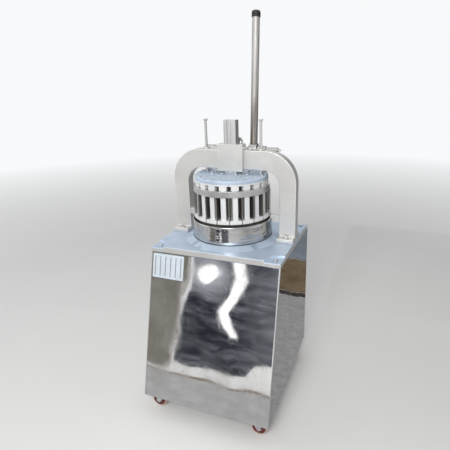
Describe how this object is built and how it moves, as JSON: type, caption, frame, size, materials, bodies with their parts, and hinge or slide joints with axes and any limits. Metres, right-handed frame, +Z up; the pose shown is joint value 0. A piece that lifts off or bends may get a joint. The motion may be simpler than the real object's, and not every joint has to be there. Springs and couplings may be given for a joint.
{
  "type": "dough divider",
  "caption": "Hand lever dough divider: a rack press under an arch drives a round head of pressers and knives into a pan, on a raked steel cabinet with casters.",
  "frame": {"origin": "on the floor under the middle of the cabinet's foot", "axes": "+Z up, front towards -Y, lever right of the middle at +X"},
  "size_m": [0.4, 0.45, 1.1543],
  "materials": {
    "panel_steel": "mirror polished stainless",
    "plate_alloy": "fine satin",
    "arch_alloy": "satin machined",
    "head_alloy": "bright machined",
    "bright_steel": "polished stainless",
    "tool_steel": "machined",
    "dark_steel": "oiled",
    "zinc_steel": "zinc plated",
    "bronze": "turned",
    "board_plastic": "matte",
    "cap_plastic": "matte",
    "wheel_plastic": "satin moulded"
  },
  "bodies": {
    "frame": {"front_panel": "panel_steel", "side_panel_left": "panel_steel", "side_panel_right": "panel_steel", "back_panel": "panel_steel", "base_plate": "zinc_steel", "corner_angles": "zinc_steel", "top_plate": "plate_alloy", "corner_screws": "dark_steel", "arch_frame": "arch_alloy", "foot_bolts": "bright_steel", "guide_block": "arch_alloy", "guide_block_screws": "dark_steel", "oil_cup": "bright_steel", "bearing_left": "arch_alloy", "bearing_right": "arch_alloy", "shaft_bushes": "bronze", "bearing_bolts": "dark_steel", "rod_bushes": "arch_alloy", "pan_lugs": "arch_alloy", "pan_lug_screws": "dark_steel", "dough_pan": "bright_steel", "cutting_board": "board_plastic", "caster_plates": "zinc_steel", "caster_screws": "dark_steel"},
    "ram": {"rack": "tool_steel", "rack_screws": "dark_steel", "knife_carrier": "head_alloy", "ring_knives": "tool_steel", "outer_knives": "tool_steel", "middle_knives": "tool_steel", "inner_knives": "tool_steel"},
    "press": {"press_plate": "plate_alloy", "outer_pressers": "head_alloy", "middle_pressers": "head_alloy", "inner_pressers": "head_alloy", "presser_screws": "bright_steel", "guide_rods": "bright_steel", "rod_nuts": "bright_steel"},
    "lever": {"pinion": "tool_steel", "pinion_key": "dark_steel", "pinion_shaft": "bright_steel", "shaft_end_bolts": "bright_steel", "lever_hub": "bright_steel", "hub_set_screw": "dark_steel", "lever_tube": "bright_steel", "lever_cap": "cap_plastic"},
    "caster_1": {"caster_fork_1": "zinc_steel", "caster_axle_1": "zinc_steel"},
    "wheel_1": {"caster_wheel_1": "wheel_plastic"},
    "caster_2": {"caster_fork_2": "zinc_steel", "caster_axle_2": "zinc_steel"},
    "wheel_2": {"caster_wheel_2": "wheel_plastic"},
    "caster_3": {"caster_fork_3": "zinc_steel", "caster_axle_3": "zinc_steel"},
    "wheel_3": {"caster_wheel_3": "wheel_plastic"},
    "caster_4": {"caster_fork_4": "zinc_steel", "caster_axle_4": "zinc_steel"},
    "wheel_4": {"caster_wheel_4": "wheel_plastic"}
  },
  "joints": [
    {"name": "lever_swing", "type": "hinge", "parent": "frame", "child": "lever", "pos_m": [0, 0.092, 0.77], "axis": [1, 0, 0], "range_deg": [0, 75]},
    {"name": "ram_slide", "type": "slide", "parent": "frame", "child": "ram", "axis": [0, 0, -1], "range_m": [0, 0.0419]},
    {"name": "press_slide", "type": "slide", "parent": "frame", "child": "press", "axis": [0, 0, -1], "range_m": [0, 0.0282]},
    {"name": "caster_1_swivel", "type": "hinge", "parent": "frame", "child": "caster_1", "pos_m": [-0.148, -0.19, 0.064], "axis": [0, 0, 1], "continuous": true},
    {"name": "wheel_1_spin", "type": "hinge", "parent": "caster_1", "child": "wheel_1", "pos_m": [-0.164, -0.19, 0.025], "axis": [0, 1, 0], "continuous": true},
    {"name": "caster_2_swivel", "type": "hinge", "parent": "frame", "child": "caster_2", "pos_m": [0.148, -0.19, 0.064], "axis": [0, 0, 1], "continuous": true},
    {"name": "wheel_2_spin", "type": "hinge", "parent": "caster_2", "child": "wheel_2", "pos_m": [0.164, -0.19, 0.025], "axis": [0, 1, 0], "continuous": true},
    {"name": "caster_3_swivel", "type": "hinge", "parent": "frame", "child": "caster_3", "pos_m": [-0.148, 0.19, 0.064], "axis": [0, 0, 1], "continuous": true},
    {"name": "wheel_3_spin", "type": "hinge", "parent": "caster_3", "child": "wheel_3", "pos_m": [-0.164, 0.19, 0.025], "axis": [0, 1, 0], "continuous": true},
    {"name": "caster_4_swivel", "type": "hinge", "parent": "frame", "child": "caster_4", "pos_m": [0.148, 0.19, 0.064], "axis": [0, 0, 1], "continuous": true},
    {"name": "wheel_4_spin", "type": "hinge", "parent": "caster_4", "child": "wheel_4", "pos_m": [0.164, 0.19, 0.025], "axis": [0, 1, 0], "continuous": true}
  ],
  "couplings": [
    {"joint": "ram_slide", "follows": "lever_swing", "m_per_rad": 0.032},
    {"joint": "press_slide", "follows": "lever_swing", "m_per_rad": 0.0215}
  ]
}
